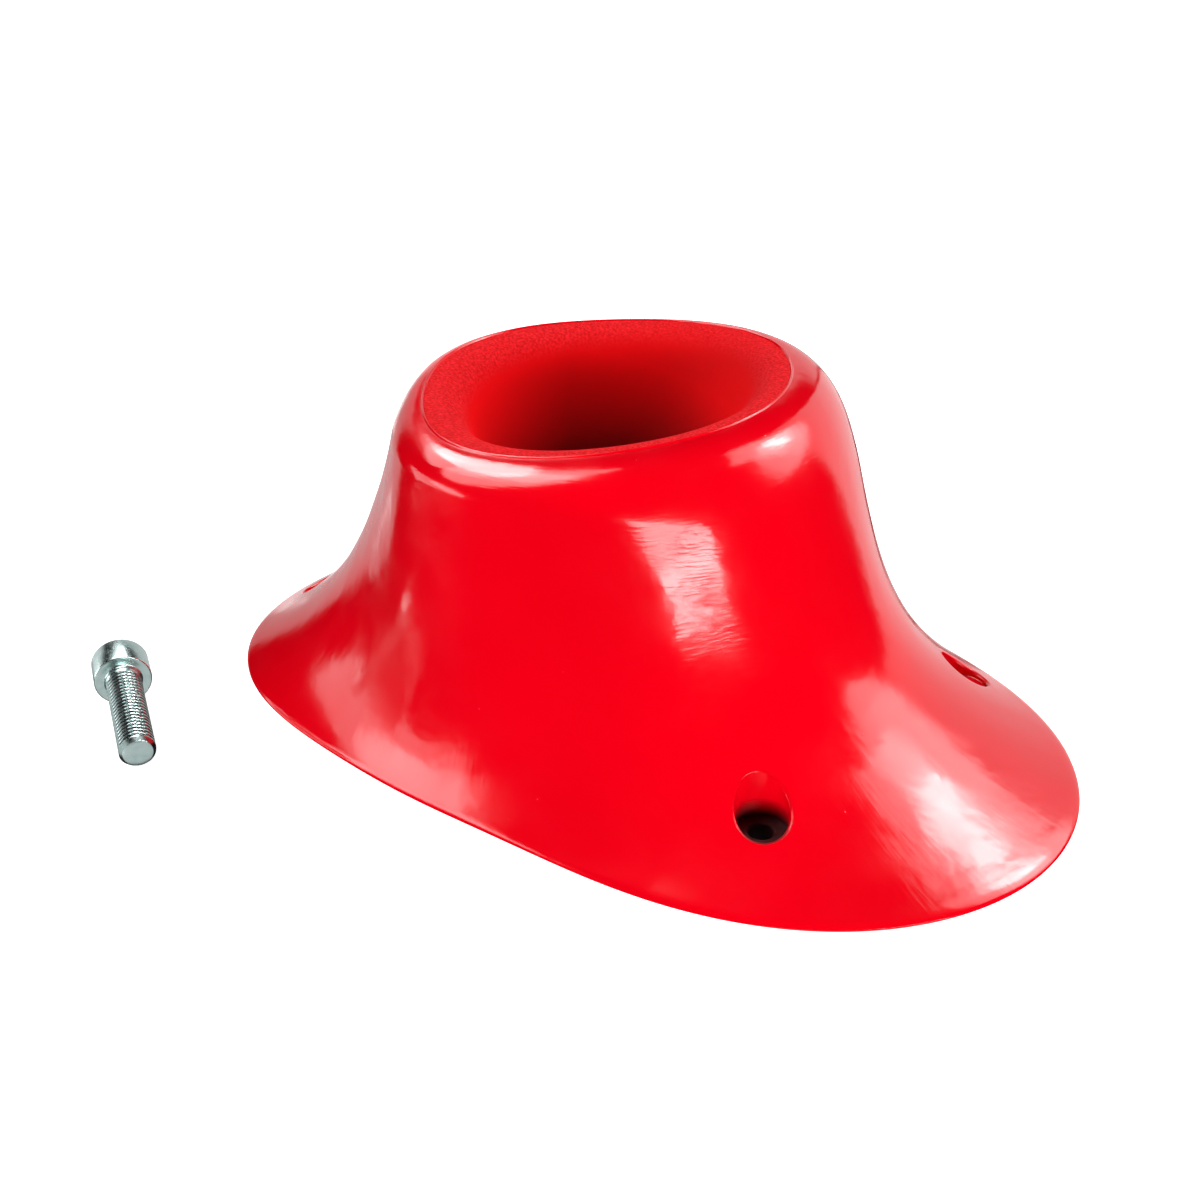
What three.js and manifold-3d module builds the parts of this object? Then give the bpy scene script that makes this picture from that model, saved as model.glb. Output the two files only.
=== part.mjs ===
// A bolt-on climbing hold: a glossy flared shell round a textured crater cup, with its wall bolt beside it.
// Millimetres. +Z points off the wall, +X runs along the hold to its longer nose, and the origin is where the
// bolt hole's axis meets the wall.

import * as THREE from 'three';
import Module from 'manifold-3d';
import { mergeVertices } from 'three/addons/utils/BufferGeometryUtils.js';

const wasm = await Module();
wasm.setup();

// Footprint on the wall, a polar curve: its mean radius and what each lobe adds to that
const footprintRadius = 104;
const footprintNoseReach = 10.8;
const footprintStretch = 22.2;
const footprintNosePoint = 4.7;
const footprintSquareness = 1.2;
const footprintFifthLobe = 0.9;
const footprintSixthLobe = -0.9;
const footprintSkew = 1.2;
const footprintTwist = -1.9;
const skirtEdgeHeight = 1.2;

// Collar, mouth and the flare between collar and skirt
const holdHeight = 91.3;
const mouthRadiusX = 46.9;
const mouthRadiusY = 56.1;
const mouthNoseShare = 0.02;
const mouthEggShare = -0.021;
const mouthSquareShare = 0.021;
const mouthTiltShare = 0.02;
const mouthSaddle = 0.7;
const shoulderWidth = 14.2;
const shoulderWidthNoseShare = 0.33;
const shoulderWidthSideShare = 0.29;
const shoulderDrop = 19.7;
const shoulderDropNoseShare = 0.09;
const shoulderDropSideShare = 0.66;
const shoulderFullShare = 0.55;
const flareHeight = 22;
const flareHeightNoseShare = -0.22;
const flareStraightShare = 0.39;
const flareStraightNoseShare = -0.06;

// Casting walls, and the flat land of the shell that shows round the cup as a fine line
const shellWall = 7;
const cupWall = 7;
const seamLand = 0.8;
const bondGap = 0.3;

// Crater: a rolled lip, then a funnel down to the bolt well
const lipWidth = 18;
const lipCrown = 0.8;
const funnelDepth = 60;
const funnelTurnRadiusShare = 0.74;
const funnelTurnDepthShare = 0.45;

// Bolt: an M10 x 35 hex socket cap screw
const threadRadius = 5;
const boltLength = 35;
const boltTipChamfer = 1;
const boltHeadRadius = 8;
const boltHeadHeight = 10;
const boltHeadChamfer = 0.8;
const hexKeyWidth = 8;
const hexSocketDepth = 5;

// Washer cast in under the bolt's head, and the room round both
const washerRadius = 13.5;
const washerThickness = 3;
const washerHeight = 17;
const boltClearance = 0.5;
const wellClearance = 1.5;

// Screw columns, one to each side of the nose and of the tail, set in from the skirt's edge
const screwHeadRadius = 5.5;
const screwHeadClearance = 1.2;
const screwRadius = 2.5;
const screwClearance = 0.75;
const screwColumnWall = 4;
const screwLedgeHeight = 4.5;
const rightNoseScrewLedgeHeight = 8.5;
const rightNoseScrewInset = 29.8;
const leftNoseScrewInset = 18.3;
const tailScrewInset = 14.5;
const rightNoseScrewDegrees = -27.2;
const leftNoseScrewDegrees = 31.8;
const tailScrewDegrees = 165;

// Ribs on the back of the cup
const ribCount = 6;
const ribThickness = 5;
const ribHeight = 34;
const ribRecess = 2;

// The loose bolt lies beside the hold, this far out from the skirt's edge
const boltStandoff = 37.5;
const boltBearingDegrees = -132.2;
const boltHeadingDegrees = -29.3;

// One overrun serves every cut
const overrun = 5;

// How finely the forms are divided
const roundSides = 72;
const flareRings = 12;
const shoulderRings = 5;
const craterRings = 12;
const funnelBackRings = 6;
const lowRingCrowdingShare = 1.5;
const smallStep = 0.001;
const boreSides = 24;
const boltSides = 48;
const hexSides = 6;

// Sizes that follow from the ones above
const quarterTurn = Math.PI / 2;
const cupMouthRadius = (mouthRadiusX + mouthRadiusY) / 2 - seamLand - bondGap;
const wellRadius = washerRadius + wellClearance;
const boltBoreRadius = threadRadius + boltClearance;
const counterboreRadius = screwHeadRadius + screwHeadClearance;
const screwHoleRadius = screwRadius + screwClearance;
const columnRadius = counterboreRadius + screwColumnWall;
const bossRadius = wellRadius + cupWall;

// Form of the outside

function footprintAt(angle) {
  const lobes = [
    footprintNoseReach * Math.cos(angle),
    footprintStretch * Math.cos(2 * angle),
    footprintNosePoint * Math.cos(3 * angle),
    footprintSquareness * Math.cos(4 * angle),
    footprintFifthLobe * Math.cos(5 * angle),
    footprintSixthLobe * Math.cos(6 * angle),
    footprintSkew * Math.sin(2 * angle),
    footprintTwist * Math.sin(3 * angle),
  ];
  return lobes.reduce((total, lobe) => total + lobe, footprintRadius);
}

// The mouth's edge in plan: an oval, a little fuller to the nose, egg-shaped and squared
function mouthEdge(angle) {
  const lobes = [
    mouthNoseShare * Math.cos(angle),
    mouthEggShare * Math.cos(3 * angle),
    mouthSquareShare * Math.cos(4 * angle),
  ];
  const share = lobes.reduce((total, lobe) => total + lobe, 1);
  return new THREE.Vector2(mouthRadiusX * share * Math.cos(angle), mouthRadiusY * share * Math.sin(angle));
}

// The mouth's edge, the direction square to it in plan, and its height
function mouthAt(angle) {
  const edge = mouthEdge(angle);
  const along = mouthEdge(angle + smallStep).sub(mouthEdge(angle - smallStep));
  const outward = new THREE.Vector2(along.y, -along.x).normalize();
  return { edge, outward, height: holdHeight + rimRiseAt(angle, edge.y) };
}

// How far the rim stands over the hold's height: a tilt to one side, and a saddle with both ends up
function rimRiseAt(angle, y) {
  return mouthTiltShare * y + mouthSaddle * Math.cos(2 * angle);
}

// The mouth's edge drawn in by the given width
function mouthHole(angle, width) {
  const { edge, outward } = mouthAt(angle);
  return edge.addScaledVector(outward, -width);
}

function shoulderAt(angle) {
  const width = 1 + shoulderWidthNoseShare * Math.cos(angle) + shoulderWidthSideShare * Math.sin(angle);
  const drop = 1 + shoulderDropNoseShare * Math.cos(angle) + shoulderDropSideShare * Math.sin(angle);
  return { width: shoulderWidth * width, drop: shoulderDrop * drop };
}

// A point of the flare: climb 0 is the skirt's edge, climb 1 the foot of the shoulder
function flarePoint(angle, climb) {
  const mouth = mouthAt(angle);
  const shoulder = shoulderAt(angle);
  const foot = mouth.edge.addScaledVector(mouth.outward, shoulder.width);
  const footHeight = mouth.height - shoulder.drop;
  const reach = flareHeight * Math.exp(flareHeightNoseShare * Math.cos(angle));
  const straight = flareStraightShare + flareStraightNoseShare * Math.cos(angle);
  const curl = Math.exp((-climb * (footHeight - skirtEdgeHeight)) / reach);
  const sweep = straight + (1 - straight) * curl;
  const radius = footprintAt(angle);
  const base = new THREE.Vector2(radius * Math.cos(angle), radius * Math.sin(angle));
  const place = foot.lerp(base, (1 - climb) * sweep);
  return new THREE.Vector3(place.x, place.y, THREE.MathUtils.lerp(skirtEdgeHeight, footHeight, climb));
}

// The rounded shoulder: it leaves the flare along its slope and comes level at the mouth's edge
function shoulderCurve(angle) {
  const mouth = mouthAt(angle);
  const shoulder = shoulderAt(angle);
  const foot = flarePoint(angle, 1);
  const slope = foot.clone().sub(flarePoint(angle, 1 - smallStep));
  slope.divideScalar(slope.z);
  const top = new THREE.Vector3(mouth.edge.x, mouth.edge.y, mouth.height);
  const level = new THREE.Vector3(mouth.outward.x, mouth.outward.y, 0);
  const leaving = foot.clone().addScaledVector(slope, shoulderFullShare * shoulder.drop);
  const arriving = top.clone().addScaledVector(level, shoulderFullShare * shoulder.width);
  return new THREE.CubicBezierCurve3(foot, leaving, arriving, top);
}

// A point the given depth under the flare, square to its surface
function flareInset(angle, climb, depth) {
  const low = Math.min(climb, 1 - smallStep);
  const around = flarePoint(angle + smallStep, low).sub(flarePoint(angle - smallStep, low));
  const up = flarePoint(angle, low + smallStep).sub(flarePoint(angle, low));
  const outward = around.cross(up).normalize();
  return flarePoint(angle, climb).addScaledVector(outward, -depth);
}

// Solids

function ringOf(pointAt) {
  const angles = Array.from({ length: roundSides }, (_, i) => (2 * Math.PI * i) / roundSides);
  return angles.map(pointAt);
}

function centreOf(ring) {
  const sum = ring.reduce((total, point) => total.add(point), new THREE.Vector3());
  return sum.divideScalar(ring.length);
}

// A closed solid through rings listed from the bottom up, each end closed by a fan
function loft(rings) {
  const sides = rings[0].length;
  const last = rings.length - 1;
  const points = [...rings.flat(), centreOf(rings[0]), centreOf(rings[last])];
  const bottom = points.length - 2;
  const top = points.length - 1;
  const faces = [];
  for (let side = 0; side < sides; side += 1) {
    const next = (side + 1) % sides;
    for (let row = 0; row < last; row += 1) {
      const here = row * sides;
      const above = here + sides;
      faces.push(here + side, here + next, above + next);
      faces.push(here + side, above + next, above + side);
    }
    faces.push(bottom, next, side);
    faces.push(top, last * sides + side, last * sides + next);
  }
  const positions = points.flatMap((point) => point.toArray());
  return solidOf(new Float32Array(positions), new Uint32Array(faces));
}

function solidOf(vertProperties, triVerts) {
  return new wasm.Manifold(new wasm.Mesh({ numProp: 3, vertProperties, triVerts }));
}

function solidOfGeometry(geometry) {
  geometry.deleteAttribute('normal');
  geometry.deleteAttribute('uv');
  const merged = mergeVertices(geometry);
  return solidOf(new Float32Array(merged.attributes.position.array), new Uint32Array(merged.index.array));
}

function geometryOf(solid) {
  const mesh = solid.getMesh();
  const geometry = new THREE.BufferGeometry();
  geometry.setAttribute('position', new THREE.BufferAttribute(new Float32Array(mesh.vertProperties), 3));
  geometry.setIndex(new THREE.BufferAttribute(new Uint32Array(mesh.triVerts), 1));
  geometry.computeVertexNormals();
  return geometry;
}

// An upright round bar between two heights
function bar(radius, low, high, x = 0, y = 0, sides = boreSides) {
  const geometry = new THREE.CylinderGeometry(radius, radius, high - low, sides);
  geometry.rotateX(quarterTurn);
  geometry.translate(x, y, (low + high) / 2);
  return solidOfGeometry(geometry);
}

function joined(solids) {
  return solids.reduce((total, solid) => total.add(solid));
}

// A screw's place in plan, from its bearing and the distance in from the skirt's edge, and its ledge
function screwAt(degrees, inset, ledge) {
  const angle = THREE.MathUtils.degToRad(degrees);
  const radius = footprintAt(angle) - inset;
  return { x: radius * Math.cos(angle), y: radius * Math.sin(angle), ledge };
}

function screwPlaces() {
  return [
    screwAt(rightNoseScrewDegrees, rightNoseScrewInset, rightNoseScrewLedgeHeight),
    screwAt(leftNoseScrewDegrees, leftNoseScrewInset, screwLedgeHeight),
    screwAt(tailScrewDegrees, tailScrewInset, screwLedgeHeight),
    screwAt(-tailScrewDegrees, tailScrewInset, screwLedgeHeight),
  ];
}

// The outside of the whole casting, skirt to mouth
function outsideSolid() {
  const rings = [ringOf((angle) => flarePoint(angle, 0).setZ(0))];
  for (let row = 0; row <= flareRings; row += 1) {
    const climb = (row / flareRings) ** lowRingCrowdingShare;
    rings.push(ringOf((angle) => flarePoint(angle, climb)));
  }
  for (let row = 1; row <= shoulderRings; row += 1) {
    rings.push(ringOf((angle) => shoulderCurve(angle).getPoint(row / shoulderRings)));
  }
  return loft(rings);
}

// The hollow of the back: the flare's inside at the given depth, run on down past the wall plane
function backHollow(depth) {
  const below = -(depth + overrun);
  const rings = [ringOf((angle) => flareInset(angle, 0, depth).setZ(below))];
  for (let row = 0; row <= flareRings; row += 1) {
    const climb = (row / flareRings) ** lowRingCrowdingShare;
    rings.push(ringOf((angle) => flareInset(angle, climb, depth)));
  }
  return loft(rings);
}

// An upright prism under the mouth, drawn in by the given gap
function mouthPrism(gap) {
  const ringAt = (height) => ringOf((angle) => {
    const place = mouthHole(angle, seamLand + gap);
    return new THREE.Vector3(place.x, place.y, height);
  });
  return loft([ringAt(-overrun), ringAt(holdHeight + 2 * overrun)]);
}

// Glossy outer shell, with a column under each screw hole
function outerShell() {
  const outside = outsideSolid();
  const places = screwPlaces();
  const columns = joined(places.map(({ x, y }) => bar(columnRadius, 0, holdHeight, x, y)));
  const walls = outside.subtract(backHollow(shellWall)).subtract(mouthPrism(0));
  const counterbores = places.map(({ x, y, ledge }) => bar(counterboreRadius, ledge, holdHeight, x, y));
  const holes = places.map(({ x, y }) => bar(screwHoleRadius, -overrun, holdHeight, x, y));
  return walls.add(columns.intersect(outside)).subtract(joined([...counterbores, ...holes]));
}

// The crater's section from the mouth's edge down to the well, in radius and drop below the rim
function craterSection() {
  const turn = cupMouthRadius * funnelTurnRadiusShare;
  return new THREE.CubicBezierCurve(
    new THREE.Vector2(cupMouthRadius, 0),
    new THREE.Vector2(cupMouthRadius - lipWidth, lipCrown),
    new THREE.Vector2(turn, -funnelDepth * funnelTurnDepthShare),
    new THREE.Vector2(wellRadius, -funnelDepth),
  );
}

// A ring of the cup: round at the well, and the mouth's own shape and rise at the mouth
function cupRing(radius, drop) {
  const likeMouth = THREE.MathUtils.clamp((radius - wellRadius) / (cupMouthRadius - wellRadius), 0, 1);
  return ringOf((angle) => {
    const round = new THREE.Vector2(Math.cos(angle), Math.sin(angle));
    const lobes = mouthHole(angle, seamLand + bondGap).addScaledVector(round, -cupMouthRadius);
    const place = round.multiplyScalar(radius).addScaledVector(lobes, likeMouth);
    const rimHeight = holdHeight + likeMouth * rimRiseAt(angle, place.y);
    return new THREE.Vector3(place.x, place.y, rimHeight * (1 + drop / holdHeight));
  });
}

// Even steps along the crater's section, from the well up to the mouth
function stepsUp(count) {
  return Array.from({ length: count + 1 }, (_, row) => 1 - row / count);
}

// Everything that is open inside the cup: crater, well and bolt hole
function cupHollow() {
  const section = craterSection();
  const rings = [
    cupRing(boltBoreRadius, -holdHeight - overrun),
    cupRing(boltBoreRadius, washerHeight - holdHeight),
    cupRing(wellRadius, washerHeight - holdHeight),
  ];
  for (const share of stepsUp(craterRings)) {
    const point = section.getPoint(share);
    rings.push(cupRing(point.x, point.y));
  }
  rings.push(cupRing(cupMouthRadius + overrun, 0));
  rings.push(cupRing(cupMouthRadius + overrun, lipCrown + 3 * overrun));
  return loft(rings);
}

// The cup's outside before the ribs: a boss that bears on the wall, then the funnel's wall
function cupOutside() {
  const section = craterSection();
  const rings = [cupRing(bossRadius, -holdHeight)];
  for (const share of stepsUp(funnelBackRings)) {
    const point = section.getPoint(share);
    const along = section.getTangent(share);
    const radius = Math.min(point.x - along.y * cupWall, cupMouthRadius);
    rings.push(cupRing(radius, point.y + along.x * cupWall));
  }
  rings.push(cupRing(cupMouthRadius, 0));
  rings.push(cupRing(cupMouthRadius, lipCrown + overrun));
  return loft(rings);
}

function ribs() {
  const root = bossRadius - cupWall / 2;
  const length = footprintRadius + footprintStretch + footprintNoseReach + footprintNosePoint;
  const blades = Array.from({ length: ribCount }, (_, i) => {
    const blade = new THREE.BoxGeometry(length, ribThickness, ribHeight - ribRecess);
    blade.translate(root + length / 2, 0, (ribHeight + ribRecess) / 2);
    blade.rotateZ((2 * Math.PI * i) / ribCount);
    return solidOfGeometry(blade);
  });
  const columns = screwPlaces().map(({ x, y }) => bar(columnRadius + bondGap, -overrun, holdHeight, x, y));
  return joined(blades).subtract(joined(columns));
}

// Textured crater cup, kept a bond gap inside the shell
function craterCup() {
  const room = backHollow(shellWall + bondGap).add(mouthPrism(bondGap));
  return cupOutside().add(ribs()).intersect(room).subtract(cupHollow());
}

// Washer on the floor of the well
function boltWasher() {
  const low = washerHeight + bondGap;
  const disc = bar(washerRadius, low, low + washerThickness, 0, 0, boltSides);
  return disc.subtract(bar(boltBoreRadius, low - overrun, low + washerThickness + overrun, 0, 0, boltSides));
}

// The bolt along +X, its head's bearing face at the origin
function wallBolt() {
  const outline = [
    [0, -boltHeadHeight],
    [boltHeadRadius - boltHeadChamfer, -boltHeadHeight],
    [boltHeadRadius, boltHeadChamfer - boltHeadHeight],
    [boltHeadRadius, 0],
    [threadRadius, 0],
    [threadRadius, boltLength - boltTipChamfer],
    [threadRadius - boltTipChamfer, boltLength],
    [0, boltLength],
  ].map(([radius, along]) => new THREE.Vector2(radius, along));
  const body = new THREE.LatheGeometry(outline, boltSides);
  body.rotateZ(-quarterTurn);
  const hexRadius = hexKeyWidth / 2 / Math.cos(Math.PI / hexSides);
  const socket = new THREE.CylinderGeometry(hexRadius, hexRadius, hexSocketDepth + overrun, hexSides);
  socket.rotateZ(-quarterTurn);
  socket.translate(-boltHeadHeight + (hexSocketDepth - overrun) / 2, 0, 0);
  return solidOfGeometry(body).subtract(solidOfGeometry(socket));
}

function part(name, solid, color, roughness, metalness) {
  const material = new THREE.MeshStandardMaterial({ color, roughness, metalness });
  const mesh = new THREE.Mesh(geometryOf(solid), material);
  mesh.name = name;
  return mesh;
}

// The bolt lies on the wall plane, on its head's edge and its tip
function layBolt(bolt) {
  const bearing = THREE.MathUtils.degToRad(boltBearingDegrees);
  const radius = footprintAt(bearing) + boltStandoff;
  const tilt = Math.atan2(boltHeadRadius - threadRadius, boltLength - boltTipChamfer);
  bolt.rotation.order = 'ZYX';
  bolt.rotation.z = THREE.MathUtils.degToRad(boltHeadingDegrees);
  bolt.rotation.y = tilt;
  bolt.position.set(radius * Math.cos(bearing), radius * Math.sin(bearing), boltHeadRadius * Math.cos(tilt));
  return bolt;
}

const group = new THREE.Group();
group.add(part('outer_shell', outerShell(), 0xe4000f, 0.12, 0));
group.add(part('crater_cup', craterCup(), 0xc80a10, 0.85, 0));
group.add(part('bolt_washer', boltWasher(), 0xb4b8bc, 0.4, 1));
group.add(layBolt(part('wall_bolt', wallBolt(), 0xc3c9cc, 0.3, 1)));

export default group;
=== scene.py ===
"""Looks of a bolt-on climbing hold and its wall bolt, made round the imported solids.

Sizes are written in millimetres and turned to metres when a mesh is made. The glossy shell, the gritty
crater cup, the washer and the bolt are surfaces worked out on grids whose rows run along a section and
whose columns run round an axis.
"""

import math

import bpy
import numpy as np
from mathutils import Matrix, Vector


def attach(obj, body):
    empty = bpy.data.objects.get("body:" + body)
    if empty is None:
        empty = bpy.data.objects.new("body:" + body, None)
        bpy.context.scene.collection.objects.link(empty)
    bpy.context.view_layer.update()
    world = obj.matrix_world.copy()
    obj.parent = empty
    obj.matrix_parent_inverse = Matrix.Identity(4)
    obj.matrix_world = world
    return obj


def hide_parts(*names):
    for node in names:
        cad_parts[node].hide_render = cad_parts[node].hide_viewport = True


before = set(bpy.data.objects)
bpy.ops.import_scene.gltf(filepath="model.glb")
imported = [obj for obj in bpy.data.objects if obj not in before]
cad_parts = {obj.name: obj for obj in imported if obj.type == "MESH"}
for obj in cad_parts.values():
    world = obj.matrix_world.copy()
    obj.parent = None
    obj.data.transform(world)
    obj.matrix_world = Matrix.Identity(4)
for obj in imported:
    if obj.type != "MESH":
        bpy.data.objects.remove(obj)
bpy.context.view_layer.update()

MM = 0.001

# Footprint on the wall, a polar curve: its mean radius and what each lobe adds to that
FOOTPRINT_RADIUS = 104
FOOTPRINT_NOSE_REACH = 10.8
FOOTPRINT_STRETCH = 22.2
FOOTPRINT_NOSE_POINT = 4.7
FOOTPRINT_SQUARENESS = 1.2
FOOTPRINT_FIFTH_LOBE = 0.9
FOOTPRINT_SIXTH_LOBE = -0.9
FOOTPRINT_SKEW = 1.2
FOOTPRINT_TWIST = -1.9

# Skirt: the height and chamfer of its edge, and the share of the climb where the rounding of the edge ends
SKIRT_EDGE = 1.2
SKIRT_CHAMFER = 0.3
SKIRT_ROUND = 0.016

# Collar, mouth and flare
HOLD_HEIGHT = 91.3
MOUTH_X = 46.9
MOUTH_Y = 56.1
MOUTH_NOSE = 0.02
MOUTH_EGG = -0.021
MOUTH_SQUARE = 0.021
MOUTH_TILT = 0.02
MOUTH_SADDLE = 0.7
SHOULDER_WIDTH = 14.2
SHOULDER_WIDTH_NOSE = 0.33
SHOULDER_WIDTH_SIDE = 0.29
SHOULDER_DROP = 19.7
SHOULDER_DROP_NOSE = 0.09
SHOULDER_DROP_SIDE = 0.66
SHOULDER_FULLNESS = 0.55
FLARE_HEIGHT = 22
FLARE_HEIGHT_NOSE = -0.22
FLARE_STRAIGHT = 0.39
FLARE_STRAIGHT_NOSE = -0.06
HAND_WAVE = 0.08

# Casting walls and the seam between shell and cup
SHELL_WALL = 7
CUP_WALL = 7
SEAM_LAND = 0.8
BOND_GAP = 0.3
SEAM_GAP = 0.04
SEAM_BEAD = 0.4

# Crater
LIP_WIDTH = 18
LIP_CROWN = 0.8
FUNNEL_DEPTH = 60
FUNNEL_TURN_RADIUS = 0.74
FUNNEL_TURN_DEPTH = 0.45

# Bolt, washer and the room round them
THREAD_RADIUS = 5
THREAD_DEPTH = 0.92
THREAD_PITCH = 1.5
THREAD_ROOT_SHARE = 0.22
THREAD_FLANK_SHARE = 0.5
THREAD_SLACK = 0.05
THREAD_START = 1.2
THREAD_FADE = 1.6
THREAD_STOP = 0.6
BOLT_LENGTH = 35
HEAD_RADIUS = 8
HEAD_HEIGHT = 10
HEAD_TOP_ROUND = 1
HEAD_UNDER_ROUND = 0.5
SHANK_FILLET = 0.6
HEX_KEY = 8
HEX_DEPTH = 5
WASHER_RADIUS = 13.5
WASHER_THICKNESS = 3
WASHER_HEIGHT = 17
WASHER_EDGE = 0.5
WASHER_BORE_EDGE = 0.3
WELL_RADIUS = 15
BORE_RADIUS = 5.5
WELL_FILLET = 0.6
BORE_CHAMFER = 0.5
BOSS_RADIUS = 22
BOSS_CHAMFER = 0.7
CUP_MOUTH_RADIUS = (MOUTH_X + MOUTH_Y) / 2 - SEAM_LAND - SEAM_GAP

# Screw columns
COUNTERBORE_RADIUS = 6.7
SCREW_HOLE_RADIUS = 3.25
COLUMN_RADIUS = 10.7
COLUMN_COVER = 4.5
COLUMN_LEAST = 0.6
LEDGE_CHAMFER = 0.4
LEDGE_FILLET = 0.6
CUTTER_OVERRUN = 2
SCREW_DEGREES = (-27.2, 31.8, 165, -165)
SCREW_INSETS = (29.8, 18.3, 14.5, 14.5)
SCREW_LEDGES = (8.5, 4.5, 4.5, 4.5)
FRONT_SCREW = 0
HOLE_ROUND = 0.9
HOLE_ROLL = 0.94
HOLE_RUN_ON = 1.2

# Ribs on the back of the cup
RIB_COUNT = 6
RIB_THICKNESS = 5
RIB_HEIGHT = 34
RIB_RECESS = 2
RIB_CHAMFER = 0.8
RIB_REACH = 160
ROOM_OVERRUN = 5

# Where the bolt lies
BOLT_STANDOFF = 37.5
BOLT_BEARING = math.radians(-132.2)
BOLT_HEADING = math.radians(-29.3)

# Columns of the grids, the power that crowds the flare's rows towards the skirt, and the bolt's rows a pitch
SHELL_AROUND = 384
CUP_AROUND = 256
SCREW_AROUND = 96
COLUMN_AROUND = 72
BOLT_AROUND = 96
ROW_CROWDING = 1.25
ROWS_PER_PITCH = 18

# Angles in degrees over which an edge is shaded sharp
CAST_EDGE = 32
STEEL_EDGE = 40

# The camera fitted to the photo: focal length in millimetres, then its place and its target in metres
LENS = 47.68
CAMERA_PLACE = (0.26172, -0.31047, 0.23491)
CAMERA_TARGET = (-0.03147, 0.03496, 0)

# The middle that lamps are aimed at, in metres
LAMP_TARGET = (0, 0, 0.05)


# Shapes


def footprint(angle):
    """Radius of the skirt's edge: a mean radius plus cosine lobes of one to six waves round, and two sine
    lobes."""
    radius = FOOTPRINT_RADIUS + FOOTPRINT_NOSE_REACH * np.cos(angle) + FOOTPRINT_STRETCH * np.cos(2 * angle)
    radius += FOOTPRINT_NOSE_POINT * np.cos(3 * angle) + FOOTPRINT_SQUARENESS * np.cos(4 * angle)
    radius += FOOTPRINT_FIFTH_LOBE * np.cos(5 * angle) + FOOTPRINT_SIXTH_LOBE * np.cos(6 * angle)
    return radius + FOOTPRINT_SKEW * np.sin(2 * angle) + FOOTPRINT_TWIST * np.sin(3 * angle)


def polar(radius, angle):
    """Plan places at a radius and an angle: radius times cosine, and radius times sine."""
    return np.stack([radius * np.cos(angle), radius * np.sin(angle)], -1)


def mouth_curve(angle):
    """The mouth's edge in plan: an ellipse swollen a little by cosine lobes of one, three and four waves."""
    swell = 1 + MOUTH_NOSE * np.cos(angle) + MOUTH_EGG * np.cos(3 * angle) + MOUTH_SQUARE * np.cos(4 * angle)
    return np.stack([MOUTH_X * np.cos(angle) * swell, MOUTH_Y * np.sin(angle) * swell], -1)


def mouth_edge(angle):
    """The mouth's edge in plan, and the unit vector square to it."""
    along = mouth_curve(angle + 0.001) - mouth_curve(angle - 0.001)
    outward = np.stack([along[..., 1], -along[..., 0]], -1)
    return mouth_curve(angle), outward / np.linalg.norm(outward, axis=-1, keepdims=True)


def rim_rise(angle, y):
    """How far the rim stands over the hold's height: a tilt to one side, and a saddle with both ends up."""
    return MOUTH_TILT * y + MOUTH_SADDLE * np.cos(2 * angle)


def rim_height(angle, y):
    """Height of the rim over the wall plane."""
    return HOLD_HEIGHT + rim_rise(angle, y)


def shoulder_size(angle):
    """Width and drop of the rounded shoulder: each a mean with one wave round, towards nose and side."""
    width = 1 + SHOULDER_WIDTH_NOSE * np.cos(angle) + SHOULDER_WIDTH_SIDE * np.sin(angle)
    drop = 1 + SHOULDER_DROP_NOSE * np.cos(angle) + SHOULDER_DROP_SIDE * np.sin(angle)
    return SHOULDER_WIDTH * width, SHOULDER_DROP * drop


def shoulder_foot(angle):
    """Where the shoulder leaves the flare: out from the mouth's edge by its width, and down by its drop."""
    edge, outward = mouth_edge(angle)
    width, drop = shoulder_size(angle)
    return edge + outward * width[..., None], rim_height(angle, edge[..., 1]) - drop


def flare(angle, climb):
    """Points of the flare. Height runs evenly from the skirt's edge to the shoulder's foot. The plan place
    runs from footprint to foot as (1 - climb) times a sweep that fades exponentially with height to a
    straight share."""
    angle, climb = np.broadcast_arrays(angle, climb)
    foot, foot_height = shoulder_foot(angle)
    reach = FLARE_HEIGHT * np.exp(FLARE_HEIGHT_NOSE * np.cos(angle))
    straight = FLARE_STRAIGHT + FLARE_STRAIGHT_NOSE * np.cos(angle)
    sweep = straight + (1 - straight) * np.exp(-climb * (foot_height - SKIRT_EDGE) / reach)
    share = ((1 - climb) * sweep)[..., None]
    place = foot + share * (polar(footprint(angle), angle) - foot)
    height = SKIRT_EDGE + climb * (foot_height - SKIRT_EDGE)
    return np.concatenate([place, height[..., None]], -1)


def shoulder(angle, turn):
    """Points of the shoulder: a cubic curve that leaves the flare along its slope and meets the mouth
    level."""
    angle, turn = np.broadcast_arrays(angle, turn)
    edge, outward = mouth_edge(angle)
    width, drop = shoulder_size(angle)
    foot = flare(angle, np.ones_like(angle))
    slope = foot - flare(angle, np.full_like(angle, 0.999))
    slope /= slope[..., 2:]
    level = np.concatenate([outward, np.zeros_like(outward[..., :1])], -1)
    top = np.concatenate([edge, rim_height(angle, edge[..., 1])[..., None]], -1)
    leave = foot + slope * (SHOULDER_FULLNESS * drop)[..., None]
    arrive = top + level * (SHOULDER_FULLNESS * width)[..., None]
    t = turn[..., None]
    s = 1 - t
    return s**3 * foot + 3 * s**2 * t * leave + 3 * s * t**2 * arrive + t**3 * top


def flare_inset(angle, climb, depth):
    """Points the given depth under the flare, square to it."""
    angle, climb = np.broadcast_arrays(angle, climb)
    low = np.minimum(climb, 0.999)
    around = flare(angle + 0.001, low) - flare(angle - 0.001, low)
    up = flare(angle, low + 0.001) - flare(angle, low)
    outward = np.cross(around, up)
    outward /= np.linalg.norm(outward, axis=-1, keepdims=True)
    return flare(angle, climb) - depth * outward


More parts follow.
